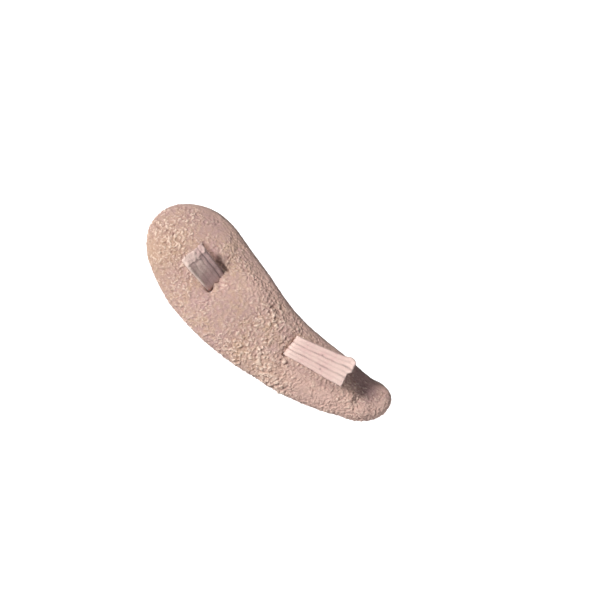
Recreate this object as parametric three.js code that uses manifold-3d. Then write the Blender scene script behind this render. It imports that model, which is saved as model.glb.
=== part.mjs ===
// Hammer toe crest pad for a right foot: a padded suede crest that lies under the toes, held by one
// ribbed elastic band that loops over a middle toe and comes out through two slits in the sole face.
//
// Frame, in millimetres: the origin is the middle of the toe opening. +X runs along the pad from its
// wide end to its tail, +Y from the sole face to the toe side, +Z towards the heel along the toe.
import * as THREE from 'three';
import { mergeVertices } from 'three/addons/utils/BufferGeometryUtils.js';
import Module from 'manifold-3d';

// Pad sizes
const padLength = 63;
const padWidth = 21.3; // across the wide end
const soleBulge = 3.4; // the sole face stands this far out of the pad's edge
const crestBulge = 7.2; // the toe side stands this far out of the pad's edge
const tailSetback = 3.2; // the tail bends this far back, towards the toes
const wideEndRound = 16; // length over which the wide end's outline rounds off
const tailRound = 5.5; // length over which the tail's outline rounds off
const wideEndRoll = 8.5; // length over which the wide end's thickness rolls off
const tailRoll = 6; // length over which the tail's thickness rolls off
const soleSquareness = 2.5; // superellipse power: 2 is an ellipse, more is flatter
const crestSquareness = 2.05;
const toeFromWideEnd = 28.7; // from the wide end's tip to the middle of the toe

// Elastic band sizes
const bandWidth = 4.9; // pulled tight round the toe
const bandThickness = 1.0;
const ribCount = 6;
const ribDepth = 0.16;
const slitSpacing = 20.6; // from one leg of the loop to the other
const slitClearance = 0.3; // round the band, in its slits
const toeOpeningDepth = 16; // from the crest to the band over the toe
const archRise = 9.5; // height of the round part of the loop
const bendRadius = 1.2; // where the band turns over a slit's lip
const dimpleReach = 3; // radius of the dips where the band pulls the sole face in at its slits
const dimpleShift = 1.4; // the middle of each dip lies this far from its slit, under the band

// The band's two cut ends on the sole face. turn is the angle in the plane of the sole, in degrees,
// lift the angle out of it, curl how far the cut bends back down, height where the middle of the band
// crosses its slit, off the sole, and dip the depth of the dimple there.
const tailEnd = { side: 1, length: 12.5, width: 6.2, turn: 14, lift: 9, curl: 0, height: 0.3, dip: 0.6 };
const wideEnd = { side: -1, length: 9.9, width: 5.2, turn: 12, lift: 50, curl: 45, height: -1.1, dip: 1.3 };

// Facets
const padRings = 56;
const padSides = 40;
const endSteps = 8;
const bendSteps = 6;
const archSteps = 22;
const ribSteps = 4;

// The pad's form along its length. along is a share of padLength, width and rise of padWidth, sole of
// soleBulge, crest of crestBulge and setback of tailSetback. The ends are rounded off separately.
const padForm = [
  { along: 0.0, width: 1.0, rise: 0.105, sole: 0.95, crest: 0.72, setback: 0.3 },
  { along: 0.1, width: 1.0, rise: 0.091, sole: 0.98, crest: 0.86, setback: 0.16 },
  { along: 0.2, width: 1.0, rise: 0.049, sole: 1.0, crest: 0.95, setback: 0.06 },
  { along: 0.3, width: 0.98, rise: -0.013, sole: 1.0, crest: 1.0, setback: 0.01 },
  { along: 0.4, width: 0.925, rise: -0.06, sole: 1.0, crest: 1.0, setback: 0.0 },
  { along: 0.5, width: 0.832, rise: -0.098, sole: 0.98, crest: 0.98, setback: 0.03 },
  { along: 0.6, width: 0.735, rise: -0.108, sole: 0.95, crest: 0.93, setback: 0.12 },
  { along: 0.7, width: 0.688, rise: -0.086, sole: 0.91, crest: 0.86, setback: 0.27 },
  { along: 0.8, width: 0.608, rise: -0.041, sole: 0.86, crest: 0.76, setback: 0.48 },
  { along: 0.9, width: 0.49, rise: 0.018, sole: 0.8, crest: 0.64, setback: 0.73 },
  { along: 1.0, width: 0.465, rise: 0.1, sole: 0.75, crest: 0.55, setback: 1.0 },
];

const degrees = Math.PI / 180;
const wasm = await Module();
wasm.setup();

// A column of the form table at any share of the length, as a smooth curve through its rows.
function formAt(column, along) {
  const last = padForm.length - 1;
  const spot = THREE.MathUtils.clamp(along, 0, 1);
  let row = 0;
  while (row < last - 1 && padForm[row + 1].along < spot) row += 1;
  const [before, from, to, after] = [row - 1, row, row + 1, row + 2].map(
    (i) => padForm[THREE.MathUtils.clamp(i, 0, last)],
  );
  const slope = (a, b) => (b[column] - a[column]) / (b.along - a.along);
  const gap = to.along - from.along;
  const t = (spot - from.along) / gap;
  const startSlope = slope(before, to) * gap;
  const endSlope = slope(from, after) * gap;
  const rest = 1 - t;
  return (
    from[column] * (1 + 2 * t) * rest * rest +
    to[column] * t * t * (3 - 2 * t) +
    startSlope * t * rest * rest -
    endSlope * t * t * rest
  );
}

// 0 at both tips of the pad, rising to 1 along a quarter ellipse at each end.
function endRound(along, wideReach, tailReach) {
  const quarter = (share) => Math.sqrt(Math.max(0, 1 - (1 - Math.min(1, share)) ** 2));
  return quarter((along * padLength) / wideReach) * quarter(((1 - along) * padLength) / tailReach);
}

const shareAt = (x) => (x + toeFromWideEnd) / padLength;
const crestAtToe = crestBulge * formAt('crest', shareAt(0));
const setbackAtToe = tailSetback * formAt('setback', shareAt(0));
const edgePlane = -toeOpeningDepth / 2 - crestAtToe - setbackAtToe;

// The outline and bulges of the pad's cross-section at one share of its length.
function sectionAt(along) {
  const roll = endRound(along, wideEndRoll, tailRoll);
  return {
    x: along * padLength - toeFromWideEnd,
    edge: edgePlane + tailSetback * formAt('setback', along),
    middle: padWidth * formAt('rise', along),
    halfWidth: (padWidth / 2) * formAt('width', along) * endRound(along, wideEndRound, tailRound),
    sole: soleBulge * formAt('sole', along) * roll,
    crest: crestBulge * formAt('crest', along) * roll,
  };
}

const slitX = slitSpacing / 2;

// The way a free end points, at a share of its length from the slit. It curls mostly near its cut.
function endDirection(end, share) {
  const turn = end.turn * degrees;
  const lift = (end.lift - end.curl * share ** 3) * degrees;
  return new THREE.Vector3(
    end.side * Math.cos(turn) * Math.cos(lift),
    -Math.sin(lift),
    Math.sin(turn) * Math.cos(lift),
  );
}

// How far the band pulls the sole face in at x, z.
function dimpleAt(x, z) {
  return [tailEnd, wideEnd].reduce((sum, end) => {
    const shift = endDirection(end, 0).multiplyScalar(dimpleShift);
    const away = Math.hypot(x - end.side * slitX - shift.x, z - shift.z);
    return sum + end.dip * Math.exp(-((away / dimpleReach) ** 2));
  }, 0);
}

// Height of the undimpled sole face at the middle of a slit.
function soleAt(x) {
  const section = sectionAt(shareAt(x));
  const across = Math.min(1, Math.abs(section.middle) / section.halfWidth);
  return section.edge - section.sole * (1 - across ** soleSquareness) ** (1 / soleSquareness);
}

// A closed surface through rings of points, with each end closed by a flat cap or, for a ring of one
// point, by a fan to that point.
function skin(rings) {
  const positions = rings.flat().flatMap((p) => [p.x, p.y, p.z]);
  const starts = rings.map((_, i) => rings.slice(0, i).reduce((sum, ring) => sum + ring.length, 0));
  const index = [];
  for (let r = 0; r < rings.length - 1; r += 1) {
    const [here, next] = [rings[r].length, rings[r + 1].length];
    const sides = Math.max(here, next);
    for (let i = 0; i < sides; i += 1) {
      const a = starts[r] + (i % here);
      const b = starts[r] + ((i + 1) % here);
      const c = starts[r + 1] + (i % next);
      const d = starts[r + 1] + ((i + 1) % next);
      if (here > 1) index.push(a, d, b);
      if (next > 1) index.push(a, c, d);
    }
  }
  const cap = (ring, start, flip) => {
    if (ring.length < 3) return;
    const along = new THREE.Vector3().subVectors(ring[Math.floor(ring.length / 2)], ring[0]).normalize();
    const middle = ring.reduce((sum, p) => sum.add(p), new THREE.Vector3()).divideScalar(ring.length);
    const normal = new THREE.Vector3();
    ring.forEach((p, i) => {
      const next = ring[(i + 1) % ring.length];
      const turn = new THREE.Vector3().subVectors(p, middle);
      normal.add(turn.cross(new THREE.Vector3().subVectors(next, middle)));
    });
    const up = new THREE.Vector3().crossVectors(normal.normalize(), along);
    const flat = ring.map((p) => {
      const out = new THREE.Vector3().subVectors(p, middle);
      return new THREE.Vector2(out.dot(along), out.dot(up));
    });
    for (const [a, b, c] of THREE.ShapeUtils.triangulateShape(flat, [])) {
      index.push(start + a, start + (flip ? c : b), start + (flip ? b : c));
    }
  };
  cap(rings[0], starts[0], false);
  cap(rings.at(-1), starts.at(-1), true);
  const geometry = new THREE.BufferGeometry();
  geometry.setAttribute('position', new THREE.Float32BufferAttribute(positions, 3));
  geometry.setIndex(index);
  return geometry;
}

// The padded crest, before its slits are cut.
function padSkin() {
  const rings = [];
  for (let r = 0; r <= padRings; r += 1) {
    const section = sectionAt((1 - Math.cos((Math.PI * r) / padRings)) / 2);
    const tip = r === 0 || r === padRings;
    const ring = [];
    for (let s = 0; s < (tip ? 1 : padSides); s += 1) {
      const turn = (2 * Math.PI * s) / padSides;
      const across = Math.sign(Math.cos(turn));
      const out = Math.sign(Math.sin(turn));
      const power = 2 / (out < 0 ? soleSquareness : crestSquareness);
      const width = tip ? 0 : across * Math.abs(Math.cos(turn)) ** power;
      const depth = tip ? 0 : Math.abs(Math.sin(turn)) ** power;
      const z = section.middle + section.halfWidth * width;
      const dip = out < 0 ? dimpleAt(section.x, z) * depth : 0;
      const bulge = out < 0 ? -section.sole : section.crest;
      ring.push(new THREE.Vector3(section.x, section.edge + bulge * depth + dip, z));
    }
    rings.push(ring);
  }
  return skin(rings);
}

// Stations along the middle of the band, from its cut end by the tail to the one by the wide end.
// Each holds its point, its direction, the direction across it, its width and whether it lies in an
// open groove of the sole face.
function bandStations() {
  const across = new THREE.Vector3(0, 0, 1);
  const springing = toeOpeningDepth / 2 + bandThickness / 2 - archRise;

  const endStations = (end) => {
    const turned = across.clone().applyAxisAngle(new THREE.Vector3(0, 1, 0), -end.side * end.turn * degrees);
    const bendReach = bendRadius * Math.tan((90 - end.lift) * degrees * 0.5);
    const corner = new THREE.Vector3(end.side * slitX, 0, 0);
    corner.y = soleAt(corner.x) - end.height;
    const lip = corner.clone().addScaledVector(endDirection(end, 0), bendReach);
    const inside = corner.clone().add(new THREE.Vector3(0, bendReach, 0));
    const bend = new THREE.QuadraticBezierCurve3(lip, corner, inside);
    const stations = [];
    const point = lip.clone();
    for (let i = 1; i <= endSteps; i += 1) {
      point.addScaledVector(endDirection(end, (i - 0.5) / endSteps), end.length / endSteps);
      stations.unshift({
        point: point.clone(),
        direction: endDirection(end, i / endSteps).negate(),
        across: turned,
        width: THREE.MathUtils.lerp(bandWidth, end.width, i / endSteps),
        open: true,
      });
    }
    for (let i = 0; i <= bendSteps; i += 1) {
      const share = i / bendSteps;
      stations.push({
        point: bend.getPoint(share),
        direction: bend.getTangent(share),
        across: turned.clone().lerp(across, share),
        width: bandWidth,
        open: true,
      });
    }
    return stations;
  };

  const arch = [];
  for (let i = 0; i <= archSteps; i += 1) {
    const turn = (Math.PI * i) / archSteps;
    arch.push({
      point: new THREE.Vector3(slitX * Math.cos(turn), springing + archRise * Math.sin(turn), 0),
      direction: new THREE.Vector3(-slitX * Math.sin(turn), archRise * Math.cos(turn), 0).normalize(),
      across,
      width: bandWidth,
      open: false,
    });
  }
  const wide = endStations(wideEnd)
    .reverse()
    .map((station) => ({ ...station, direction: station.direction.clone().negate() }));
  return [...endStations(tailEnd), ...arch, ...wide];
}

// A ring of points round one station, from a section of [across, out] pairs.
function ringAt(station, section) {
  const side = station.across.clone().projectOnPlane(station.direction).normalize();
  const out = new THREE.Vector3().crossVectors(side, station.direction);
  return section.map(([w, n]) => station.point.clone().addScaledVector(side, w).addScaledVector(out, n));
}

// The band's section: a row of round ribs on both faces.
function ribbedSection(width) {
  const face = [];
  for (let i = 0; i <= ribCount * ribSteps; i += 1) {
    const hollow = ribDepth * (1 - Math.sin((Math.PI * (i % ribSteps)) / ribSteps));
    face.push([width * (0.5 - i / (ribCount * ribSteps)), bandThickness / 2 - hollow]);
  }
  face[0][0] -= ribDepth;
  face[face.length - 1][0] += ribDepth;
  const back = face.map(([w, n]) => [-w, -n]);
  return [...face, [-width / 2, 0], ...back, [width / 2, 0]];
}

// The room for the band in the pad, open to the sole face where the band lies on it.
function slitRing(station) {
  const w = station.width / 2 + slitClearance;
  const n = bandThickness / 2 + slitClearance;
  const ring = ringAt(station, [
    [w, n],
    [-w, n],
    [-w, -n],
    [w, -n],
  ]);
  const opening = station.open ? soleBulge + bandThickness : 0;
  ring[0].y -= opening;
  ring[1].y -= opening;
  return ring;
}

function solidOf(geometry) {
  const merged = mergeVertices(geometry, 1e-4);
  return new wasm.Manifold(
    new wasm.Mesh({
      numProp: 3,
      vertProperties: merged.attributes.position.array,
      triVerts: new Uint32Array(merged.index.array),
    }),
  );
}

function geometryOf(solid) {
  const mesh = solid.getMesh();
  const geometry = new THREE.BufferGeometry();
  geometry.setAttribute('position', new THREE.Float32BufferAttribute(mesh.vertProperties, 3));
  geometry.setIndex(new THREE.BufferAttribute(mesh.triVerts, 1));
  geometry.computeVertexNormals();
  return geometry;
}

function crestPad() {
  const slits = skin(bandStations().map(slitRing));
  const geometry = geometryOf(solidOf(padSkin()).subtract(solidOf(slits)));
  const suede = new THREE.MeshStandardMaterial({ color: 0xc0a292, roughness: 0.95, metalness: 0 });
  const mesh = new THREE.Mesh(geometry, suede);
  mesh.name = 'crest_pad';
  return mesh;
}

function elasticBand() {
  const geometry = skin(bandStations().map((s) => ringAt(s, ribbedSection(s.width))));
  geometry.computeVertexNormals();
  const elastic = new THREE.MeshStandardMaterial({ color: 0xe8d0c8, roughness: 0.8, metalness: 0 });
  const mesh = new THREE.Mesh(geometry, elastic);
  mesh.name = 'elastic_band';
  return mesh;
}

const toeCrestPad = new THREE.Group();
toeCrestPad.add(crestPad(), elasticBand());

export default toeCrestPad;
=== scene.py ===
import math

import bpy
import numpy as np
from mathutils import Matrix, Vector, noise


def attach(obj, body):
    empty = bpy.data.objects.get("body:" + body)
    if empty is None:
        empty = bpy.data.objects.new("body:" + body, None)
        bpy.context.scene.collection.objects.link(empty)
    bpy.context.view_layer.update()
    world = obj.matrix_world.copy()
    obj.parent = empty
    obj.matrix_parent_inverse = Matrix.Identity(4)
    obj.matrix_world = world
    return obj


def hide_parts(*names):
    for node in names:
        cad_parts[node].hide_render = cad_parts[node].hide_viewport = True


# Toe crest pad seen from its sole face: padded suede with one ribbed elastic band.
# +X runs to the narrow tail, -Y is the sole face, the band's loop stands on the +Y side.
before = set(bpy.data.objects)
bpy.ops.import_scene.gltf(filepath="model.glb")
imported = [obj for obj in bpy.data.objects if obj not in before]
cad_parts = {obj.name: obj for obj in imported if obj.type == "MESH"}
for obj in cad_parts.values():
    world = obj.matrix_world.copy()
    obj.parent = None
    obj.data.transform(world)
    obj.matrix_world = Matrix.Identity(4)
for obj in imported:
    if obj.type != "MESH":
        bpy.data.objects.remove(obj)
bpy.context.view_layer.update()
mm = 0.001
noise.seed_set(12)  # otherwise noise_vector changes from run to run
print("frame loaded")


# Helpers
def deselectAll():
    if bpy.context.object and bpy.context.object.mode != "OBJECT":
        bpy.ops.object.mode_set(mode="OBJECT")
    bpy.ops.object.select_all(action="DESELECT")


def pick(piece):
    deselectAll()
    piece.select_set(True)
    bpy.context.view_layer.objects.active = piece


def addModifier(piece, kind, **settings):
    modifier = piece.modifiers.new(kind.lower(), kind)
    for name, value in settings.items():
        setattr(modifier, name, value)
    return modifier


def applyModifiers(piece):
    pick(piece)
    for modifier in list(piece.modifiers):
        bpy.ops.object.modifier_apply(modifier=modifier.name)


def vertexValues(piece, key):
    flat = np.empty(len(piece.data.vertices) * 3)
    piece.data.vertices.foreach_get(key, flat)
    return flat.reshape(-1, 3)


def moveTo(piece, spots):
    piece.data.vertices.foreach_set("co", np.asarray(spots, dtype=float).ravel())
    piece.data.update()


def storeAttribute(piece, name, values):
    attribute = piece.data.attributes.new(name, "FLOAT", "POINT")
    attribute.data.foreach_set("value", np.asarray(values, dtype=float))


def smoothStep(low, high, value):
    share = min(1, max(0, (value - low) / (high - low)))
    return share * share * (3 - 2 * share)


def finishPiece(piece, material, slot, *nodes):
    piece.data.materials.clear()
    piece.data.materials.append(material)
    pick(piece)
    bpy.ops.object.shade_smooth()
    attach(piece, "root")
    if nodes:
        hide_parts(*nodes)


# Camera, rolled so that the pad slopes down to the right
cameraView = {
    "aim": (5.5 * mm, -17 * mm, 8.3 * mm),
    "distance": 410 * mm,
    "lens": 119.3,
    "roll": 40,
}


def makeCamera(look):
    x, y, z = look["aim"]
    bpy.ops.object.camera_add(
        location=(x, y - look["distance"], z),
        rotation=(math.radians(90), -math.radians(look["roll"]), 0),
    )
    camera = bpy.context.object
    camera.name = "camera"
    camera.data.lens = look["lens"]
    camera.data.clip_start = 0.01
    camera.data.clip_end = 20
    bpy.context.scene.camera = camera


makeCamera(cameraView)


# Light: a key from the wide end's side, a weak fill, and lamps for the backdrop alone
lightPlan = {
    "key": {
        "spot": (-0.47, -0.53, -0.08),
        "aim": (0, 0, 0),
        "size": 0.12,
        "power": 4.8,
        "tone": (1, 0.98, 0.96),
    },
    "fill": {
        "spot": (0.56, -0.36, 0.05),
        "aim": (0, 0, 0),
        "size": 0.4,
        "power": 0.33,
        "tone": (0.97, 0.98, 1),
    },
    "backLeft": {
        "spot": (-0.3, 0.3, 0.15),
        "aim": (-0.35, 1.2, 0.1),
        "size": 0.3,
        "power": 5.5,
        "tone": (1, 1, 1),
    },
    "backRight": {
        "spot": (0.3, 0.3, 0.15),
        "aim": (0.35, 1.2, 0.1),
        "size": 0.3,
        "power": 5.5,
        "tone": (1, 1, 1),
    },
}
worldLook = {"tone": (1, 0.99, 0.98, 1), "strength": 0.08}


def makeLights(plan):
    for name, look in plan.items():
        spot = Vector(look["spot"])
        turn = (Vector(look["aim"]) - spot).to_track_quat("-Z", "Y").to_euler()
        bpy.ops.object.light_add(type="AREA", location=spot, rotation=turn)
        lamp = bpy.context.object
        lamp.name = name
        lamp.data.size = look["size"]
        lamp.data.energy = look["power"]
        lamp.data.color = look["tone"]
        lamp.visible_camera = False


def makeWorld(look):
    world = bpy.data.worlds.new("softRoom")
    bpy.context.scene.world = world
    world.use_nodes = True
    background = world.node_tree.nodes["Background"]
    background.inputs["Color"].default_value = look["tone"]
    background.inputs["Strength"].default_value = look["strength"]
    bpy.context.scene.view_settings.view_transform = "Standard"


makeLights(lightPlan)
makeWorld(worldLook)


# Node helpers
def feed(tree, socket, value):
    if isinstance(value, bpy.types.NodeSocket):
        tree.links.new(value, socket)
    else:
        socket.default_value = value


def addNode(tree, kind, settings=None, inputs=None):
    made = tree.nodes.new(kind)
    for name, value in (settings or {}).items():
        setattr(made, name, value)
    for name, value in (inputs or {}).items():
        feed(tree, made.inputs[name], value)
    return made


def attributeOf(tree, name):
    return addNode(tree, "ShaderNodeAttribute", {"attribute_name": name}).outputs["Fac"]


def newMaterial(name, **shaderValues):
    material = bpy.data.materials.new(name)
    material.use_nodes = True
    shader = material.node_tree.nodes["Principled BSDF"]
    for socket, value in shaderValues.items():
        shader.inputs[socket.replace("_", " ")].default_value = value
    return material, material.node_tree, shader


def newGroup(name, inputs, outputs):
    group = bpy.data.node_groups.new(name, "ShaderNodeTree")
    for label, kind, value in inputs:
        socket = group.interface.new_socket(label, in_out="INPUT", socket_type=kind)
        if value is not None:
            socket.default_value = value
    for label, kind in outputs:
        group.interface.new_socket(label, in_out="OUTPUT", socket_type=kind)
    return group, group.nodes.new("NodeGroupInput").outputs, group.nodes.new("NodeGroupOutput").inputs


def ramp(tree, value, low, high):
    ranged = addNode(tree, "ShaderNodeMapRange", {"interpolation_type": "SMOOTHSTEP"}, {"Value": value})
    ranged.inputs["From Min"].default_value = low
    ranged.inputs["From Max"].default_value = high
    return ranged.outputs["Result"]


def mixColor(tree, amount, first, second):
    mix = addNode(tree, "ShaderNodeMix", {"data_type": "RGBA", "blend_type": "MIX"})
    for index, value in ((0, amount), (6, first), (7, second)):
        feed(tree, mix.inputs[index], value)
    return mix.outputs[2]


def maths(tree, operation, first, second):
    made = addNode(tree, "ShaderNodeMath", {"operation": operation})
    for index, value in enumerate((first, second)):
        feed(tree, made.inputs[index], value)
    return made.outputs[0]


def makeMottleGroup():
    # two colours mixed in soft uneven patches
    group, given, result = newGroup(
        "mottle",
        [
            ("Vector", "NodeSocketVector", None),
            ("Scale", "NodeSocketFloat", 300.0),
            ("Amount", "NodeSocketFloat", 1.0),
            ("First", "NodeSocketColor", None),
            ("Second", "NodeSocketColor", None),
        ],
        [("Color", "NodeSocketColor")],
    )
    cloud = addNode(
        group,
        "ShaderNodeTexNoise",
        inputs={"Vector": given["Vector"], "Scale": given["Scale"], "Detail": 3.0, "Roughness": 0.6},
    )
    share = maths(group, "MULTIPLY", ramp(group, cloud.outputs["Fac"], 0.36, 0.66), given["Amount"])
    group.links.new(mixColor(group, share, given["First"], given["Second"]), result["Color"])
    return group


def makeFibreGroup():
    # short tangled fibres as a height, with a mask of the hollows between them for painted shade
    group, given, result = newGroup(
        "fibres",
        [
            ("Vector", "NodeSocketVector", None),
            ("Scale", "NodeSocketFloat", 2500.0),
            ("Tangle", "NodeSocketFloat", 1.5),
        ],
        [("Height", "NodeSocketFloat"), ("Hollow", "NodeSocketFloat")],
    )
    strands = addNode(
        group,
        "ShaderNodeTexNoise",
        {"noise_type": "RIDGED_MULTIFRACTAL"},
        {
            "Vector": given["Vector"],
            "Scale": given["Scale"],
            "Detail": 2.0,
            "Roughness": 0.5,
            "Distortion": given["Tangle"],
        },
    )
    grain = addNode(
        group,
        "ShaderNodeTexNoise",
        inputs={
            "Vector": given["Vector"],
            "Scale": maths(group, "MULTIPLY", given["Scale"], 2.7),
            "Detail": 2.0,
        },
    )
    height = maths(
        group,
        "ADD",
        maths(group, "MULTIPLY", strands.outputs["Fac"], 0.65),
        maths(group, "MULTIPLY", grain.outputs["Fac"], 0.35),
    )
    group.links.new(height, result["Height"])
    hollow = maths(group, "SUBTRACT", 1.0, ramp(group, height, 0.3, 0.62))
    group.links.new(hollow, result["Hollow"])
    return group


mottleGroup = makeMottleGroup()
fibreGroup = makeFibreGroup()


def useGroup(tree, group, **inputs):
    return addNode(tree, "ShaderNodeGroup", {"node_tree": group}, inputs).outputs


def mottled(tree, place, scale, amount, first, second):
    made = useGroup(tree, mottleGroup, Vector=place, Scale=scale, Amount=amount, First=first, Second=second)
    return made["Color"]


# Stage: a pale floor that sweeps up into a wall all round
stageShape = {
    "sides": 96,
    "floor": -0.22,
    "flat": 0.75,
    "sweep": 0.5,
    "steps": 12,
    "wall": 0.9,
    "tone": (0.86, 0.86, 0.87, 1),
    "shade": 0.985,
    "patchScale": 3.0,
    "patchAmount": 0.5,
    "roughness": 0.9,
}


def makeStage(shape):
    deselectAll()
    bpy.ops.mesh.primitive_circle_add(
        vertices=shape["sides"], radius=shape["flat"], fill_type="NGON", location=(0, 0, shape["floor"])
    )
    stage = bpy.context.object
    stage.name = "stage"
    bpy.ops.object.transform_apply(location=True)
    bpy.ops.object.mode_set(mode="EDIT")
    bpy.ops.mesh.select_mode(type="EDGE")
    bpy.ops.mesh.select_all(action="SELECT")
    reach, height = shape["flat"], 0
    for step in range(1, shape["steps"] + 1):
        turn = math.pi / 2 * step / shape["steps"]
        nextReach = shape["flat"] + shape["sweep"] * math.sin(turn)
        nextHeight = shape["sweep"] * (1 - math.cos(turn))
        bpy.ops.mesh.extrude_edges_move(TRANSFORM_OT_translate={"value": (0, 0, nextHeight - height)})
        grow = nextReach / reach
        bpy.ops.transform.resize(value=(grow, grow, 1), center_override=(0, 0, 0))
        reach, height = nextReach, nextHeight
    bpy.ops.mesh.extrude_edges_move(TRANSFORM_OT_translate={"value": (0, 0, shape["wall"])})
    bpy.ops.mesh.select_all(action="SELECT")
    bpy.ops.mesh.normals_make_consistent(inside=True)
    bpy.ops.object.mode_set(mode="OBJECT")
    bpy.ops.object.shade_smooth()
    material, tree, shader = newMaterial("paperSweep", Roughness=shape["roughness"])
    place = addNode(tree, "ShaderNodeTexCoord").outputs["Object"]
    tone = shape["tone"]
    shade = [channel * shape["shade"] for channel in tone[:3]] + [1]
    color = mottled(tree, place, shape["patchScale"], shape["patchAmount"], tone, shade)
    tree.links.new(color, shader.inputs["Base Color"])
    stage.data.materials.append(material)


makeStage(stageShape)
print("camera, light and stage made")


# Suede
suedeLook = {
    "tan": (0.625, 0.43, 0.315, 1),
    "pink": (0.58, 0.375, 0.355, 1),
    "olive": (0.6, 0.45, 0.33, 1),
    "mauve": (0.505, 0.335, 0.34, 1),
    # pit is painted shade for the nap's pits and hollows, tip a painted highlight for its tips
    "pit": (0.22, 0.13, 0.11, 1),
    "tip": (0.94, 0.76, 0.63, 1),
    "pale": (0.78, 0.535, 0.46, 1),
    "gold": (0.585, 0.41, 0.275, 1),
    "darkToneAndShade": (0.3, 0.195, 0.195, 1),
    "sheenTint": (0.95, 0.8, 0.72, 1),
    "patchScale": 160.0,
    "patchAmount": 0.9,
    "streakScale": 620.0,
    "fleckScale": 1050.0,
    "fleckAmount": 0.6,
    "tipRange": (0.5, 0.98),
    "tipShare": 0.8,
    "pitRange": (0.42, -0.15),
    "pitShare": 0.6,
    "hollowShare": 0.22,
    "fibreScale": 2600.0,
    "fibreTangle": 1.2,
    "fibreDepth": 0.05 * mm,
    "bumpStrength": 0.9,
}


def makeSuedeMaterial(look):
    material, tree, shader = newMaterial(
        "suede", Roughness=0.95, Sheen_Weight=0.18, Sheen_Roughness=0.6, Specular_IOR_Level=0.15
    )
    shader.inputs["Sheen Tint"].default_value = look["sheenTint"]
    place = addNode(tree, "ShaderNodeTexCoord").outputs["Object"]
    nap = attributeOf(tree, "napHeight")
    fibres = useGroup(tree, fibreGroup, Vector=place, Scale=look["fibreScale"], Tangle=look["fibreTangle"])
    toned = look["tan"]
    for scale, amount, color in (
        (look["patchScale"], look["patchAmount"], look["pink"]),
        (look["streakScale"], look["fleckAmount"], look["olive"]),
        (look["fleckScale"], look["fleckAmount"], look["mauve"]),
    ):
        toned = mottled(tree, place, scale, amount, toned, color)
    # gold is a tone, pale is mostly painted light, and the dark zones hold painted shadow by the tail
    for zone in ("gold", "pale", "darkToneAndShade"):
        toned = mixColor(tree, attributeOf(tree, zone), toned, look[zone])
    # painted highlight on the tufts' tips, painted shade in their pits and in the hollows between fibres
    tipMask = maths(tree, "MULTIPLY", ramp(tree, nap, *look["tipRange"]), look["tipShare"])
    lit = mixColor(tree, tipMask, toned, look["tip"])
    pitShadeMask = maths(tree, "MULTIPLY", ramp(tree, nap, *look["pitRange"]), look["pitShare"])
    pitShaded = mixColor(tree, pitShadeMask, lit, look["pit"])
    hollowShaded = mixColor(tree, maths(tree, "MULTIPLY", fibres["Hollow"], look["hollowShare"]), pitShaded, look["pit"])
    tree.links.new(hollowShaded, shader.inputs["Base Color"])
    bump = addNode(
        tree,
        "ShaderNodeBump",
        inputs={"Strength": look["bumpStrength"], "Distance": look["fibreDepth"], "Height": fibres["Height"]},
    )
    tree.links.new(bump.outputs["Normal"], shader.inputs["Normal"])
    return material


suede = makeSuedeMaterial(suedeLook)

# Padded crest. The cloth solver works on a copy enlarged solverScale times. Places and reaches are in
# millimetres, and the tail's rim is placed by shares of the dish's reach.
crestShape = {
    "solverScale": 20,
    "voxel": 0.33 * mm,
    "drawnIn": -0.12 * mm,
    "pressure": 4.0,
    "solverFrames": 20,
    "solverQuality": 4,
    "mostSwell": 0.3 * mm,
    "fineVoxel": 0.125 * mm,
    "lump": 0.16 * mm,
    "lumpSize": 7.0,
    "dents": [
        ((26.8, -0.5), 0.75, -0.4 * mm),
        ((28.1, -0.1), 1.0, 0.5 * mm),
        ((-11.8, 4.7), 1.5, -0.45 * mm),
    ],
    "tailDish": {"spot": (27.8, 3.2), "reach": 3.1, "stretch": 1.25, "depth": 1.35 * mm},
    "tailRim": {"reach": 1.4, "wide": 0.38, "rise": 0.5 * mm},
    "tailFrom": 18,
    "soleBelow": -14,
    "soleTurn": (0.2, -0.8),
}

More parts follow.
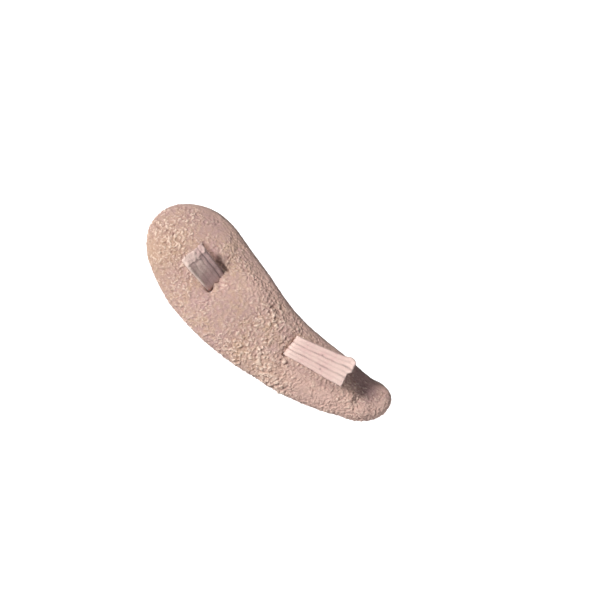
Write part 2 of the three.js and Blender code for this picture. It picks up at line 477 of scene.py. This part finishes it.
# Nap: curled tufts of suede, in millimetres. Zones are (x, z), reach and change.
napShape = {
    "height": 0.44 * mm,
    "evenness": 0.8,
    "leastFactor": 0.3,
    "patchSpacing": 2.4,
    "patchChange": 0.5,
    "tuftSize": 0.52,
    "bigTuftSize": 0.86,
    "bigTuftFrom": 0.1,
    "mostBigTuft": 0.75,
    "dome": {"change": 0.45, "draw": 4.1, "fall": 0.9, "reach": 0.75, "level": 0.47},
    "domeShare": 0.72,
    "curlShare": 0.35,
    "curlSpacing": 0.38,
    "swirlSpacing": 0.5,
    "swirl": 0.26,
    "coarse": [
        ((3.6, 2.6), 3.2, 1.0),
        ((6.5, -5.5), 4.0, 0.5),
        ((10.0, -6.8), 2.4, 0.4),
        ((1.0, -8.0), 3.5, 0.6),
        ((14.0, -9.0), 4.5, 0.8),
        ((-23.5, 1.0), 4.5, 0.85),
        ((29.0, -2.5), 4.0, 0.4),
    ],
    "smooth": [
        ((-4.0, 0.4), 4.5, 0.3),
        ((-5.5, -4.0), 3.5, 0.35),
        ((-17.0, 8.5), 5.0, 0.35),
        ((18.0, -4.6), 3.5, 0.4),
        ((28.5, 3.4), 3.0, 0.3),
    ],
    # pale zones: painted light where the pad turns from the key, on the concave side, the tail and its rim,
    # the slit's lip and beside the stub
    "pale": [
        ((-2.5, 5.7), 4.0, 0.55),
        ((-8.6, 0.6), 0.9, 0.6),
        ((16.0, -6.0), 8.0, 0.6),
        ((-11.8, 4.9), 1.0, 0.5),
        ((26.0, -4.0), 6.0, 0.8),
        ((33.2, 1.6), 2.1, 1.0),
        ((31.4, -1.6), 2.4, 0.8),
    ],
    # dark zones: the two strongest, in the tail's dish, are painted shadow beyond the strap; the weaker ones
    # darken the wide end and the middle
    "darkToneAndShade": [
        ((-21.0, 8.0), 6.0, 0.22),
        ((-28.0, 3.0), 5.0, 0.28),
        ((-19.5, -5.0), 4.5, 0.24),
        ((-8.0, 4.0), 4.0, 0.08),
        ((-1.0, -1.5), 6.0, 0.15),
        ((24.6, 4.8), 3.5, 0.9),
        ((28.9, 3.0), 2.5, 0.9),
    ],
    "gold": [
        ((-24.5, -3.0), 6.0, 0.65),
        ((2.7, -7.5), 3.5, 0.4),
        ((10.3, -7.0), 3.0, 0.35),
        ((3.6, 4.0), 3.0, 0.4),
    ],
    # the concave edge's roll-off: flatter nap and painted light
    "edgeLightAndWear": 0.6,
    "edgeTurn": (0.35, 0.85),
    "slitCalm": (0.15, 0.55),
    "leastCalm": 0.3,
}
slitShape = {
    "x": 10.3,
    "halfLength": 2.45,
    "halfWidth": 0.5,
    "sole": -17.3,
    "crest": -9.2,
    "grip": 0.06,
    "hold": 0.9,
    "ramp": 0.3,
    "crestRamp": 0.8,
}

# The crease that the stub presses beside itself, with painted shadow along it, and the painted shadow beside
# the strap at the tail
creaseShape = {
    "from": (-9.8, 3.3),
    "to": (-16.6, 4.3),
    "reach": (0.3, 0.52),
    "depth": 0.42 * mm,
    "shade": 1.0,
}
contactShape = {"from": (11.5, -3.1), "to": (22.5, -1.0), "reach": (0.6, 1.3), "shade": 0.3}

# The puffed lips on the middle side of each slit
lipShape = {
    "wide": 1.0,
    "tail": 0.45,
    "rise": 0.34 * mm,
    "pull": 0.5 * mm,
    "reach": 1.5,
    "full": 0.2,
    "overhang": 0.3,
    "deep": 0.4,
    "endFade": 0.5,
    "notch": -1.3,
    "notchFade": 0.3,
    "evenness": 0.8,
    "change": 0.9,
    "spacing": 0.8,
}


def solidCopy(nodeName, pieceName):
    piece = bpy.data.objects.new(pieceName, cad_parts[nodeName].data.copy())
    bpy.context.scene.collection.objects.link(piece)
    pick(piece)
    bpy.ops.object.mode_set(mode="EDIT")
    bpy.ops.mesh.select_all(action="SELECT")
    bpy.ops.mesh.remove_doubles(threshold=0.001 * mm)
    bpy.ops.mesh.select_all(action="DESELECT")
    bpy.ops.object.mode_set(mode="OBJECT")
    return piece


def swell(piece, shape):
    cloth = addModifier(piece, "CLOTH")
    cloth.settings.use_pressure = True
    cloth.settings.uniform_pressure_force = shape["pressure"]
    cloth.settings.effector_weights.gravity = 0
    cloth.settings.quality = shape["solverQuality"]
    cloth.point_cache.frame_start = 1
    cloth.point_cache.frame_end = shape["solverFrames"]
    start = vertexValues(piece, "co")
    for step in range(1, shape["solverFrames"] + 1):
        bpy.context.scene.frame_set(step)
    applyModifiers(piece)
    shift = vertexValues(piece, "co") - start
    reach = np.linalg.norm(shift, axis=1)
    most = shape["mostSwell"] * shape["solverScale"]
    realReach = reach / shape["solverScale"] / mm
    print("swell, in mm:", realReach.mean(), realReach.max())
    shift *= np.minimum(1, most / np.maximum(reach, 1e-9))[:, None]
    moveTo(piece, start + shift)
    bpy.context.scene.frame_set(1)


def nearSlit(x, y, z):
    # distance in millimetres to the band where it goes through the pad
    return math.hypot(
        max(0, abs(abs(x) - slitShape["x"]) - slitShape["halfWidth"]),
        max(0, abs(z) - slitShape["halfLength"]),
    )


def zoneSum(zones, x, z):
    total = 0
    for (zoneX, zoneZ), reach, change in zones:
        total += change * math.exp(-((x - zoneX) ** 2 + (z - zoneZ) ** 2) / reach**2)
    return total


def zoneFactor(x, z, coarseness, shape):
    patch = noise.noise(Vector((x, 0, z)) / shape["patchSpacing"])
    factor = shape["evenness"] + shape["patchChange"] * patch
    return max(shape["leastFactor"], factor + coarseness - zoneSum(shape["smooth"], x, z))


def domeAt(spot, size, shape):
    reaches, centres = noise.voronoi(spot / size)
    height = shape["change"] * noise.noise(centres[0] * shape["draw"])
    return height - shape["fall"] * min(1, reaches[0] / shape["reach"]) ** 2 + shape["level"]


def napAt(spot, coarseness, shape):
    # about 0 in the pits to 1 on the tufts' tips: small domes of different heights, with curls over them
    swirled = spot + noise.noise_vector(spot / shape["swirlSpacing"]) * shape["swirl"]
    dome = domeAt(swirled, shape["tuftSize"], shape["dome"])
    if coarseness > shape["bigTuftFrom"]:
        bigDome = domeAt(swirled, shape["bigTuftSize"], shape["dome"])
        dome += (bigDome - dome) * min(shape["mostBigTuft"], coarseness)
    curl = noise.noise(swirled / shape["curlSpacing"])
    curl += 0.5 * noise.noise(swirled * 2 / shape["curlSpacing"] + Vector((5, 9, 2)))
    return 0.5 + shape["domeShare"] * dome + shape["curlShare"] * curl


def gripBand(piece, shape):
    # the slits close on the band, and their lips are a little uneven
    spots = vertexValues(piece, "co") / mm
    inside = np.clip((spots[:, 1] - shape["sole"]) / shape["ramp"], 0, 1)
    inside *= np.clip((shape["crest"] - spots[:, 1]) / shape["crestRamp"], 0, 1)
    halfWidth, halfLength = shape["halfWidth"] + shape["grip"], shape["halfLength"] + shape["grip"]
    for side in (-1, 1):
        off = spots[:, 0] - side * shape["x"]
        near = (inside > 0) & (np.abs(off) < halfWidth + shape["hold"])
        near &= np.abs(spots[:, 2]) < halfLength + shape["hold"]
        drawn = np.clip(off, -halfWidth, halfWidth)
        spots[:, 0] += np.where(near, (drawn - off) * inside, 0)
        drawn = np.clip(spots[:, 2], -halfLength, halfLength)
        spots[:, 2] += np.where(near, (drawn - spots[:, 2]) * inside, 0)
    moveTo(piece, spots * mm)


def lipPuff(x, y, z, shape):
    # 0 to about 1 on the lip between each slit and the pad's middle, more in some places than others
    inward = slitShape["x"] - slitShape["halfWidth"] - abs(x)
    if y > slitShape["sole"] + shape["deep"] or not -shape["overhang"] < inward < shape["reach"]:
        return 0
    halfLength = slitShape["halfLength"]
    ends = smoothStep(halfLength + shape["endFade"], halfLength - shape["endFade"], abs(z))
    bump = shape["tail"]
    if x < 0:
        notch, fade = shape["notch"], shape["notchFade"]
        bump = shape["wide"] * smoothStep(notch - fade, notch + fade, z)
    uneven = noise.noise(Vector((z / shape["spacing"], x / abs(x) * 4, 3)))
    bump *= shape["evenness"] + shape["change"] * uneven
    return max(0, bump) * ends * smoothStep(shape["reach"], shape["full"], inward)


def creaseAt(x, z, shape):
    (fromX, fromZ), (toX, toZ) = shape["from"], shape["to"]
    runX, runZ = toX - fromX, toZ - fromZ
    share = min(1, max(0, ((x - fromX) * runX + (z - fromZ) * runZ) / (runX**2 + runZ**2)))
    away = math.hypot(x - fromX - share * runX, z - fromZ - share * runZ)
    near, far = shape["reach"]
    return math.exp(-((away / (near + (far - near) * share)) ** 2))


def tailSink(x, z, shape):
    # the dish with its raised rim at the end of the tail
    dish, rim = shape["tailDish"], shape["tailRim"]
    dishX, dishZ = dish["spot"]
    away = math.hypot((x - dishX) / dish["stretch"], z - dishZ) / dish["reach"]
    sink = dish["depth"] * math.exp(-away * away)
    outer = smoothStep(dishX, dishX + dish["reach"], x)
    return sink - outer * rim["rise"] * math.exp(-(((away - rim["reach"]) / rim["wide"]) ** 2))


def raiseNap(piece, shape, padShape):
    spots, normals = vertexValues(piece, "co"), vertexValues(piece, "normal")
    heights, rises, pulls = (np.empty(len(spots)) for part in range(3))
    zones = {name: np.empty(len(spots)) for name in ("gold", "pale", "darkToneAndShade")}
    for index, (x, y, z) in enumerate(spots / mm):
        spot = Vector((x, y, z))
        coarseness = zoneSum(shape["coarse"], x, z)
        edge = smoothStep(*shape["edgeTurn"], normals[index][2]) * shape["edgeLightAndWear"]
        factor = zoneFactor(x, z, coarseness, shape) * (1 - edge)
        nap = 0.5 + (napAt(spot, coarseness, shape) - 0.5) * factor
        away = smoothStep(*shape["slitCalm"], nearSlit(x, y, z))
        calm = shape["leastCalm"] + (1 - shape["leastCalm"]) * away
        lump = noise.noise(spot / padShape["lumpSize"]) * padShape["lump"] * calm
        puff = lipPuff(x, y, z, lipShape)
        pit = crease = 0
        if y < padShape["soleBelow"]:
            crease = creaseAt(x, z, creaseShape)
            pit = zoneSum(padShape["dents"], x, z)
        if x > padShape["tailFrom"]:
            pit += tailSink(x, z, padShape) * smoothStep(*padShape["soleTurn"], normals[index][1])
        # the crease's painted shadow lowers napHeight, so the pit colour darkens it
        heights[index] = nap - creaseShape["shade"] * crease
        rises[index] = (nap - 0.5) * shape["height"] * calm + lump - pit + lipShape["rise"] * puff
        rises[index] -= creaseShape["depth"] * crease
        pulls[index] = math.copysign(lipShape["pull"] * puff, x)
        for name, values in zones.items():
            values[index] = zoneSum(shape[name], x, z)
        # painted light on the concave edge's roll-off
        zones["pale"][index] += edge
        # painted shadow beside the strap's lower edge
        zones["darkToneAndShade"][index] += contactShape["shade"] * creaseAt(x, z, contactShape)
    spots += normals * rises[:, None]
    spots[:, 0] += pulls
    moveTo(piece, spots)
    storeAttribute(piece, "napHeight", heights)
    for name, values in zones.items():
        storeAttribute(piece, name, values)


def makeCrestPad(shape, nap):
    pad = solidCopy("crest_pad", "suedeCrest")
    scale = shape["solverScale"]
    pad.data.transform(Matrix.Scale(scale, 4))
    addModifier(pad, "REMESH", mode="VOXEL", voxel_size=shape["voxel"] * scale, use_smooth_shade=True)
    addModifier(pad, "SMOOTH", factor=0.5, iterations=2)
    addModifier(pad, "DISPLACE", strength=-shape["drawnIn"] * scale, mid_level=0)
    applyModifiers(pad)
    swell(pad, shape)
    addModifier(pad, "REMESH", mode="VOXEL", voxel_size=shape["fineVoxel"] * scale, use_smooth_shade=True)
    addModifier(pad, "SMOOTH", factor=0.5, iterations=1)
    applyModifiers(pad)
    pad.data.transform(Matrix.Scale(1 / scale, 4))
    gripBand(pad, slitShape)
    raiseNap(pad, nap, shape)
    print("pad faces:", len(pad.data.polygons))
    finishPiece(pad, suede, "suede", "crest_pad")
    return pad


crestPad = makeCrestPad(crestShape, napShape)
print("suede crest made")


# Elastic band, in millimetres. Places across it are shares of its width, from -0.5 to 0.5.
bandShape = {
    "width": 4.9,
    "thickness": 0.95,
    "ribs": 6,
    "grooves": {  # depths at the tail and on the stub
        1: (0.07, 0.02),
        2: (0.2, 0.05),
        3: (0.08, 0.02),
        4: (0.2, 0.04),
        5: (0.07, 0.22),
    },
    # the deepest grooves get the most painted shade
    "darkestGroove": 0.22,
    "grooveShare": 0.32,
    "groovePower": 1.4,
    "grooveChange": 0.6,
    "grooveSpacing": 2.3,
    "edgeRound": 0.3,
    "edgeStart": 0.46,
    "stubEdgeShift": 0.02,
    "yarnPitch": 0.55,
    "yarnHeight": 0.028,
    "yarnSlant": 0.9,
    "slit": 10.3,
    "bendRadius": 1.2,
    "archBase": -1.0,
    "archRise": 9.5,
    "endSteps": 80,
    "bendSteps": 24,
    "archSteps": 120,
    "slopeReach": 0.05,
    "lengthFaces": 520,
    "acrossFaces": 60,
    "specks": [(6.9, 1.05), (6.1, -1.7)],
    "speckReach": 0.2,
    "cut": {
        "fade": 2.5,
        "tailIn": 0.7,
        "step": 0.85,
        "stepAt": (-0.03, 0.12),
        "corner": 0.8,
        "cornerFrom": 0.3,
        "cornerWide": 0.2,
        "tailRough": 0.16,
        "tailTeeth": 16,
        "wideIn": 0.25,
        "wideWave": 0.08,
        "wideTurns": 9,
        "wideRough": 0.2,
        "wideTeeth": 14,
    },
    "fluff": {
        "edge": 2.0,
        "edgeChange": 0.45,
        "edgeTeeth": 6,
        "edgeFade": (0.22, 0.05),
        "wide": 0.2,
        "wideChange": 0.22,
        "wideTeeth": (7, 1.6),
        "tail": 0.08,
        "tailChange": 0.12,
        "tailTeeth": (14, 3),
        "tailFade": (0.9, 0.1),
    },
    "fluffHides": {"groove": 2.5, "mauve": 3},
    "flare": {"upper": 0.75, "lower": 0.9, "full": 0.4, "bulge": 0.75, "bulgeAt": 1.3, "bulgeReach": 1.0},
    # painted highlights on the band, with paler cut yarns
    "cream": {
        "slit": 0.6,
        "slitIn": (10.5, 12.8),
        "slitOut": (18, 14),
        "cut": 0.6,
        "cutFade": (5.5, 1),
        "edge": (0.38, 0.43),
        "lowerEdge": 1.3,
        "upperEdge": 0.35,
        "ridge": 0.6,
        "ridgeAt": 0.02,
        "ridgeSway": 0.05,
        "ridgeSpacing": 1.2,
        "ridgeWide": 0.045,
        "ridgeFade": (8.5, 5),
        "lower": 0.3,
        "lowerFade": (0.05, -0.2),
        "fluff": 0.9,
    },
    # mauve on the stub: partly tone, partly painted shade
    "mauve": {
        "fade": 1,
        "slit": 0.65,
        "slitFade": (4, 8.5),
        "upper": 0.75,
        "upperFade": (-0.05, 0.25),
        "sway": 0.15,
        "edgeFade": (-0.42, -0.3),
    },
    "selvedge": {"rise": 0.2, "pitch": 0.62, "inner": (0.36, 0.43), "outer": (0.5, 0.45)},
    "wave": {"all": 0.012, "stub": 0.035, "fold": 0.05},
    "ripple": {"all": 0.05, "stub": 0.2},
}
tailEnd = {"side": 1, "corner": -18.161, "length": 12.5, "width": 6.2, "turn": 14, "lift": 9, "curl": 0}
wideEnd = {
    "side": -1,
    "corner": -17.436,
    "length": 9.9,
    "width": 5.3,
    "turn": 12,
    "lift": 50,
    "curl": 45,
    "fadeIn": 2,
    "lean": 10,
    "leanFull": 2,
    "edgeFull": 8,
}


def endDirection(end, share):
    # a free end curls mostly near its cut
    turn = math.radians(end["turn"])
    lift = math.radians(end["lift"] - end["curl"] * share**3)
    return Vector(
        (end["side"] * math.cos(turn) * math.cos(lift), -math.sin(lift), math.sin(turn) * math.cos(lift))
    )


def endRoute(end, shape):
    # from the cut end to the inside of the slit: points and the directions across the band
    turn, steps, bendSteps = math.radians(end["turn"]), shape["endSteps"], shape["bendSteps"]
    turned = Vector((-end["side"] * math.sin(turn), 0, math.cos(turn)))
    reach = shape["bendRadius"] * math.tan(math.radians(90 - end["lift"]) / 2)
    corner = Vector((end["side"] * shape["slit"], end["corner"], 0))
    lip, inside = corner + endDirection(end, 0) * reach, corner + Vector((0, reach, 0))
    points = [lip + endDirection(end, 0.5 / steps) * end["length"] / steps]
    for step in range(1, steps):
        points.insert(0, points[0] + endDirection(end, (step + 0.5) / steps) * end["length"] / steps)
    sides = [turned] * steps
    for step in range(bendSteps + 1):
        share = step / bendSteps
        points.append(lip * (1 - share) ** 2 + corner * 2 * share * (1 - share) + inside * share**2)
        sides.append(turned.lerp(Vector((0, 0, 1)), share))
    return points, sides


def bandRoute(shape):
    points, sides = endRoute(tailEnd, shape)
    for step in range(shape["archSteps"] + 1):
        turn = math.pi * step / shape["archSteps"]
        rise = shape["archBase"] + shape["archRise"] * math.sin(turn)
        points.append(Vector((shape["slit"] * math.cos(turn), rise, 0)))
        sides.append(Vector((0, 0, 1)))
    lastPoints, lastSides = endRoute(wideEnd, shape)
    points += lastPoints[::-1]
    sides += lastSides[::-1]
    lengths = [0.0]
    for before, after in zip(points, points[1:]):
        lengths.append(lengths[-1] + (after - before).length)
    return np.array(lengths), np.array(points), np.array(sides)


def routeValue(lengths, values, along):
    return Vector([np.interp(along, lengths, values[:, axis]) for axis in range(3)])


def stubStart(total):
    return total - wideEnd["length"]


def stubEdgeShare(along, total):
    # 0 where the stub leaves its slit, 1 soon after
    return smoothStep(stubStart(total), total - wideEnd["edgeFull"], along)


def bandSection(across, along, total, shape):
    # how far the band's face lies from its middle, and how much painted shade this spot gets from the depth
    # of its groove
    place = min(shape["ribs"] - 1e-6, max(0, (across + 0.5) * shape["ribs"]))
    rib = int(place)
    share = place - rib
    tailDepth, wideDepth = shape["grooves"].get(rib if share < 0.5 else rib + 1, (0, 0))
    wideShare = smoothStep(stubStart(total) - wideEnd["fadeIn"], stubStart(total), along)
    deep = tailDepth + (wideDepth - tailDepth) * wideShare
    deep *= 1 + shape["grooveChange"] * noise.noise(Vector((along / shape["grooveSpacing"], place, 5)))
    fromGroove = min(share, 1 - share)
    groove = max(0, 1 - fromGroove / shape["grooveShare"]) ** shape["groovePower"]
    slant = (1 if rib % 2 else -1) * (share - 0.5) * shape["yarnSlant"]
    yarn = math.sin(2 * math.pi * (along / shape["yarnPitch"] + slant))
    edgeStart = shape["edgeStart"] - (shape["stubEdgeShift"] * wideShare if across < 0 else 0)
    edge = max(0, abs(across) - edgeStart) / (0.5 - edgeStart)
    half = shape["thickness"] / 2 - deep * groove + shape["yarnHeight"] * yarn * (1 - groove)
    half *= 1 - (1 - shape["edgeRound"]) * edge * edge
    return half, min(1, groove * deep / shape["darkestGroove"])


def cutLine(across, along, total, shape):
    # the scissor cuts aren't straight: how far a spot near a cut end is drawn in
    corner = min(1, max(0, (across - shape["cornerFrom"]) / shape["cornerWide"]))
    tail = shape["tailIn"] - shape["step"] * smoothStep(*shape["stepAt"], across)
    tail += shape["corner"] * (1 - math.sqrt(1 - corner * corner))
    tail += shape["tailRough"] * noise.noise(Vector((across * shape["tailTeeth"], 2, 0)))
    wide = shape["wideWave"] * math.sin(across * shape["wideTurns"]) + shape["wideIn"]
    wide += shape["wideRough"] * noise.noise(Vector((across * shape["wideTeeth"], 7, 0)))
    nearTail = smoothStep(shape["fade"], 0, along)
    nearWide = smoothStep(total - shape["fade"], total, along)
    return along + tail * nearTail - wide * nearWide


def fluffAt(across, along, total, shape):
    # how far the cut yarns stand out: most at the wide end's stub, whose fluff ends in a step
    fromWide = total - along
    uneven = noise.noise(Vector((across * shape["edgeTeeth"], 1, 0)))
    edge = shape["edge"] + shape["edgeChange"] * uneven
    outside, inside = shape["edgeFade"]
    teeth, rows = shape["wideTeeth"]
    uneven = noise.noise(Vector((across * teeth, fromWide * rows, 4)))
    wide = shape["wide"] + shape["wideChange"] * uneven
    wide = max(0, wide) * smoothStep(edge + outside, edge - inside, fromWide)
    teeth, rows = shape["tailTeeth"]
    uneven = noise.noise(Vector((across * teeth, along * rows, 9)))
    tail = shape["tail"] + shape["tailChange"] * uneven
    return wide + max(0, tail) * smoothStep(*shape["tailFade"], along)


def bandWidthAt(along, across, total, shape):
    flare = shape["flare"]
    tailShare = smoothStep(tailEnd["length"], flare["full"], along)
    tailShare *= flare["upper"] if across > 0 else flare["lower"]
    wideShare = smoothStep(stubStart(total), total, along)
    width = shape["width"] + (tailEnd["width"] - shape["width"]) * tailShare
    width += (wideEnd["width"] - shape["width"]) * wideShare
    if across > 0:
        width += flare["bulge"] * math.exp(-(((along - flare["bulgeAt"]) / flare["bulgeReach"]) ** 2))
    return width


def rollBand(along, total, out, side):
    # the wide end's stub leans over to its upper side
    lean = math.radians(wideEnd["lean"]) * smoothStep(stubStart(total), total - wideEnd["leanFull"], along)
    return out * math.cos(lean) + side * math.sin(lean), side * math.cos(lean) - out * math.sin(lean)


def paleAndHighlightAt(across, along, total, fluff, shape):
    # painted highlight where the band curves out of its slit, by the tail's cut and on the stub's edges,
    # ridge and lower side; the cut yarns are paler, with painted highlight too
    slit = shape["slit"] * smoothStep(*shape["slitIn"], along) * smoothStep(*shape["slitOut"], along)
    slit += shape["cut"] * smoothStep(*shape["cutFade"], along)
    edges = smoothStep(*shape["edge"], abs(across)) * shape["lowerEdge" if across < 0 else "upperEdge"]
    sway = shape["ridgeSway"] * noise.noise(Vector((along / shape["ridgeSpacing"], 3, 6)))
    ridge = shape["ridge"] * math.exp(-(((across - shape["ridgeAt"] - sway) / shape["ridgeWide"]) ** 2))
    ridge += shape["lower"] * smoothStep(*shape["lowerFade"], across)
    ridgeFrom, ridgeFull = shape["ridgeFade"]
    stub = edges + ridge * smoothStep(total - ridgeFrom, total - ridgeFull, along)
    return min(1, slit + stubEdgeShare(along, total) * stub + shape["fluff"] * fluff)


def mauveAndShadeAt(across, along, total, shape):
    # the stub's upper side is mauve, partly its tone and partly painted shade, and where it leaves the slit
    # it gets painted shade
    stub = smoothStep(stubStart(total) - shape["fade"], stubStart(total) + shape["fade"], along)
    slitFrom, slitFull = shape["slitFade"]
    slit = shape["slit"] * smoothStep(total - slitFrom, total - slitFull, along)
    sway = shape["sway"] * noise.noise(Vector((along / 1.5, across * 4, 8)))
    upper = shape["upper"] * smoothStep(*shape["upperFade"], across + sway)
    return stub * max(slit, upper) * smoothStep(*shape["edgeFade"], across)


def selvedgeAt(across, along, total, shape):
    # the stub's edges are lumpy with turned yarns
    lump = 0.5 + 0.5 * math.sin(2 * math.pi * along / shape["pitch"])
    place = smoothStep(*shape["inner"], abs(across)) * smoothStep(*shape["outer"], abs(across))
    return shape["rise"] * lump * place * stubEdgeShare(along, total)


def waveAt(across, along, stubShare, shape):
    # the grooves wander, more on the stub
    wave = (shape["all"] + shape["stub"] * stubShare) * noise.noise(Vector((along * 0.6, across * 2, 0)))
    return wave + shape["fold"] * stubShare * smoothStep(0, 0.2, across) * smoothStep(0.5, 0.4, across)


def rippleAt(across, along, stubShare, shape):
    # the band isn't quite flat, least of all the stub
    ripple = shape["all"] * noise.noise(Vector((along * 0.35, across * 1.5, 7)))
    return ripple + shape["stub"] * stubShare * noise.noise(Vector((along / 1.7, across * 3.2, 11)))


def speckAt(sideways, along, shape):
    return sum(
        math.exp(-((along - spot) ** 2 + (sideways - offset) ** 2) / shape["speckReach"] ** 2)
        for spot, offset in shape["specks"]
    )


def makeElasticBand(shape):
    lengths, points, sides = bandRoute(shape)
    total = lengths[-1]
    print("band length in mm:", total)
    deselectAll()
    bpy.ops.mesh.primitive_grid_add(
        x_subdivisions=shape["lengthFaces"], y_subdivisions=shape["acrossFaces"], size=1, calc_uvs=True
    )
    band = bpy.context.object
    band.name = "elasticBand"
    addModifier(band, "SOLIDIFY", thickness=0.1, offset=0, use_rim=True)
    applyModifiers(band)
    spots = vertexValues(band, "co")
    placed = np.empty_like(spots)
    marks = {name: np.empty(len(spots)) for name in ("groove", "cream", "mauve", "speck")}
    hides = shape["fluffHides"]
    for index, (flatX, across, face) in enumerate(spots):
        along = cutLine(across, (flatX + 0.5) * total, total, shape["cut"])
        stubShare = smoothStep(stubStart(total) - wideEnd["fadeIn"], stubStart(total) + 1, along)
        wave = waveAt(across, along, stubShare, shape["wave"])
        half, groove = bandSection(across + wave, along, total, shape)
        point = routeValue(lengths, points, along)
        ahead = routeValue(lengths, points, along + shape["slopeReach"])
        behind = routeValue(lengths, points, along - shape["slopeReach"])
        side = routeValue(lengths, sides, along)
        direction = (ahead - behind).normalized()
        side = (side - direction * side.dot(direction)).normalized()
        out, side = rollBand(along, total, side.cross(direction), side)
        width = bandWidthAt(along, across, total, shape)
        fluff = fluffAt(across, along, total, shape["fluff"])
        standing = max(fluff, selvedgeAt(across, along, total, shape["selvedge"]))
        rise = half + standing if face > 0 else -half
        rise += rippleAt(across, along, stubShare, shape["ripple"])
        placed[index] = (point + side * (across * width) + out * rise) * mm
        marks["groove"][index] = groove * (1 - min(1, hides["groove"] * fluff))
        marks["cream"][index] = paleAndHighlightAt(across, along, total, fluff, shape["cream"])
        mauve = mauveAndShadeAt(across, along, total, shape["mauve"])
        marks["mauve"][index] = mauve * (1 - min(1, hides["mauve"] * fluff))
        marks["speck"][index] = speckAt(across * width, along, shape)
    moveTo(band, placed)
    for name, values in marks.items():
        storeAttribute(band, name, values)
    pick(band)
    bpy.ops.object.mode_set(mode="EDIT")
    bpy.ops.mesh.select_all(action="SELECT")
    bpy.ops.mesh.normals_make_consistent(inside=False)
    bpy.ops.mesh.select_all(action="DESELECT")
    bpy.ops.object.mode_set(mode="OBJECT")
    return band, total


elasticLook = {
    "pale": (0.73, 0.53, 0.48, 1),
    "pink": (0.71, 0.46, 0.435, 1),
    "groove": (0.34, 0.25, 0.24, 1),
    "mauve": (0.5, 0.32, 0.33, 1),
    "cream": (0.8, 0.64, 0.56, 1),
    "highlightAndPale": (0.9, 0.73, 0.645, 1),
    "speck": (0.2, 0.12, 0.11, 1),
    "patchScale": 420.0,
    "patchAmount": 0.8,
    "creamScale": 1500.0,
    "creamAmount": 0.5,
    "threadRange": (0.55, 0.1),
    "threadShare": 0.25,
    "highlightAndPaleShare": 0.7,
    "mauveShare": 0.8,
    "speckShare": 0.75,
    "grooveShare": 0.75,
    "hollowShare": 0.16,
    "fibreScale": 3200.0,
    "fibreTangle": 0.8,
    "threadHeight": 0.6,
    "fibreHeight": 0.5,
    "bumpDepth": 0.04 * mm,
    "bumpStrength": 0.7,
}


def makeElasticMaterial(look, total):
    material, tree, shader = newMaterial(
        "ribbedElastic", Roughness=0.8, Sheen_Weight=0.12, Sheen_Roughness=0.5, Specular_IOR_Level=0.25
    )
    place = addNode(tree, "ShaderNodeTexCoord").outputs["Object"]
    flat = addNode(tree, "ShaderNodeUVMap", {"uv_map": "UVMap"}).outputs["UV"]
    stretched = addNode(tree, "ShaderNodeMapping", inputs={"Vector": flat, "Scale": (total, 5.0, 1.0)})
    threads = addNode(
        tree,
        "ShaderNodeTexWave",
        {"wave_type": "BANDS", "bands_direction": "DIAGONAL"},
        {
            "Vector": stretched.outputs["Vector"],
            "Scale": 0.9,
            "Distortion": 1.2,
            "Detail": 1.0,
            "Detail Scale": 2.0,
        },
    ).outputs["Fac"]
    fibres = useGroup(tree, fibreGroup, Vector=place, Scale=look["fibreScale"], Tangle=look["fibreTangle"])
    toned = look["pale"]
    for scale, amount, color in (
        (look["patchScale"], look["patchAmount"], look["pink"]),
        (look["creamScale"], look["creamAmount"], look["cream"]),
    ):
        toned = mottled(tree, place, scale, amount, toned, color)
    # painted highlight, mauve tone with painted shade, dirt specks, and painted shade in the grooves and
    # between fibres
    for mask, share, color in (
        (ramp(tree, threads, *look["threadRange"]), look["threadShare"], look["pink"]),
        (attributeOf(tree, "cream"), look["highlightAndPaleShare"], look["highlightAndPale"]),
        (attributeOf(tree, "mauve"), look["mauveShare"], look["mauve"]),
        (attributeOf(tree, "speck"), look["speckShare"], look["speck"]),
        (attributeOf(tree, "groove"), look["grooveShare"], look["groove"]),
        (fibres["Hollow"], look["hollowShare"], look["groove"]),
    ):
        toned = mixColor(tree, maths(tree, "MULTIPLY", mask, share), toned, color)
    tree.links.new(toned, shader.inputs["Base Color"])
    height = maths(
        tree,
        "ADD",
        maths(tree, "MULTIPLY", threads, look["threadHeight"]),
        maths(tree, "MULTIPLY", fibres["Height"], look["fibreHeight"]),
    )
    bump = addNode(
        tree,
        "ShaderNodeBump",
        inputs={"Strength": look["bumpStrength"], "Distance": look["bumpDepth"], "Height": height},
    )
    tree.links.new(bump.outputs["Normal"], shader.inputs["Normal"])
    return material


elasticBand, bandLength = makeElasticBand(bandShape)
elastic = makeElasticMaterial(elasticLook, bandLength)
finishPiece(elasticBand, elastic, "elastic", "elastic_band")
print("elastic band made")
